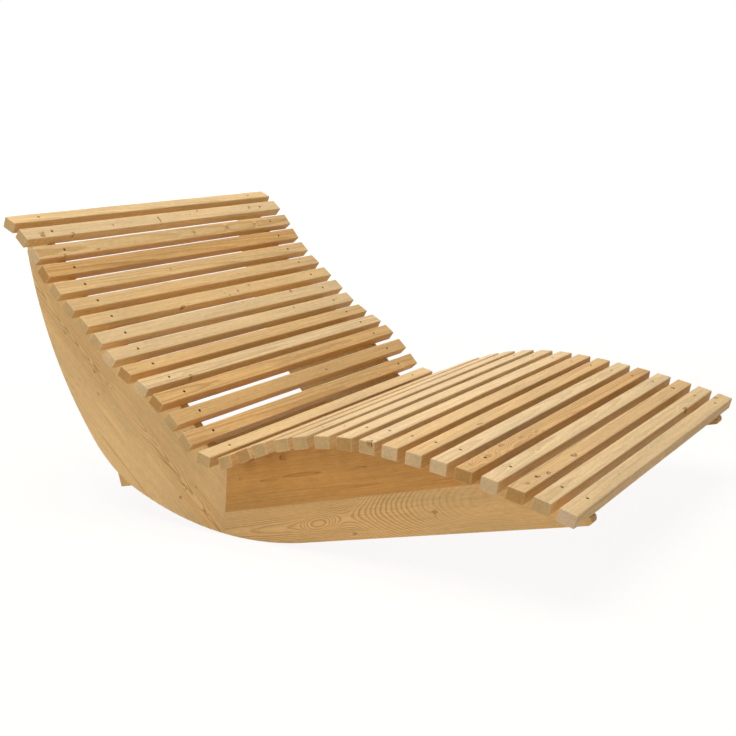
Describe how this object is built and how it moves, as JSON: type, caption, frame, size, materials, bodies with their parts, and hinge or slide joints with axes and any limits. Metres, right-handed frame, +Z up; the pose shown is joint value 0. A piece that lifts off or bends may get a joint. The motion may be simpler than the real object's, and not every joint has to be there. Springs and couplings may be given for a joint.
{
  "type": "rocking lounger",
  "caption": "Wide rocking lounger of curved wooden slats on solid side panels with rounded rockers.",
  "frame": {"origin": "middle of the footprint, on the floor", "axes": "+X from head to foot, +Y to the sitter's left, +Z up"},
  "size_m": [1.8114, 1.2, 0.9041],
  "materials": {
    "slat_wood": "planed, thinly oiled",
    "side_wood": "planed, thinly oiled",
    "dowel_wood": "plain",
    "screw_steel": "dull zinc plating"
  },
  "bodies": {
    "root": {"slat_01": "slat_wood", "slat_02": "slat_wood", "slat_03": "slat_wood", "slat_04": "slat_wood", "slat_05": "slat_wood", "slat_06": "slat_wood", "slat_07": "slat_wood", "slat_08": "slat_wood", "slat_09": "slat_wood", "slat_10": "slat_wood", "slat_11": "slat_wood", "slat_12": "slat_wood", "slat_13": "slat_wood", "slat_14": "slat_wood", "slat_15": "slat_wood", "slat_16": "slat_wood", "slat_17": "slat_wood", "slat_18": "slat_wood", "slat_19": "slat_wood", "slat_20": "slat_wood", "slat_21": "slat_wood", "slat_22": "slat_wood", "slat_23": "slat_wood", "slat_24": "slat_wood", "slat_25": "slat_wood", "slat_26": "slat_wood", "slat_27": "slat_wood", "slat_28": "slat_wood", "slat_29": "slat_wood", "slat_30": "slat_wood", "slat_31": "slat_wood", "left_back_board": "side_wood", "left_seat_board": "side_wood", "left_base_board": "side_wood", "left_slat_screws": "screw_steel", "left_joint_dowels": "dowel_wood", "left_bar_dowels": "dowel_wood", "right_back_board": "side_wood", "right_seat_board": "side_wood", "right_base_board": "side_wood", "right_slat_screws": "screw_steel", "right_joint_dowels": "dowel_wood", "right_bar_dowels": "dowel_wood", "rear_stop_bar": "side_wood"}
  },
  "joints": []
}
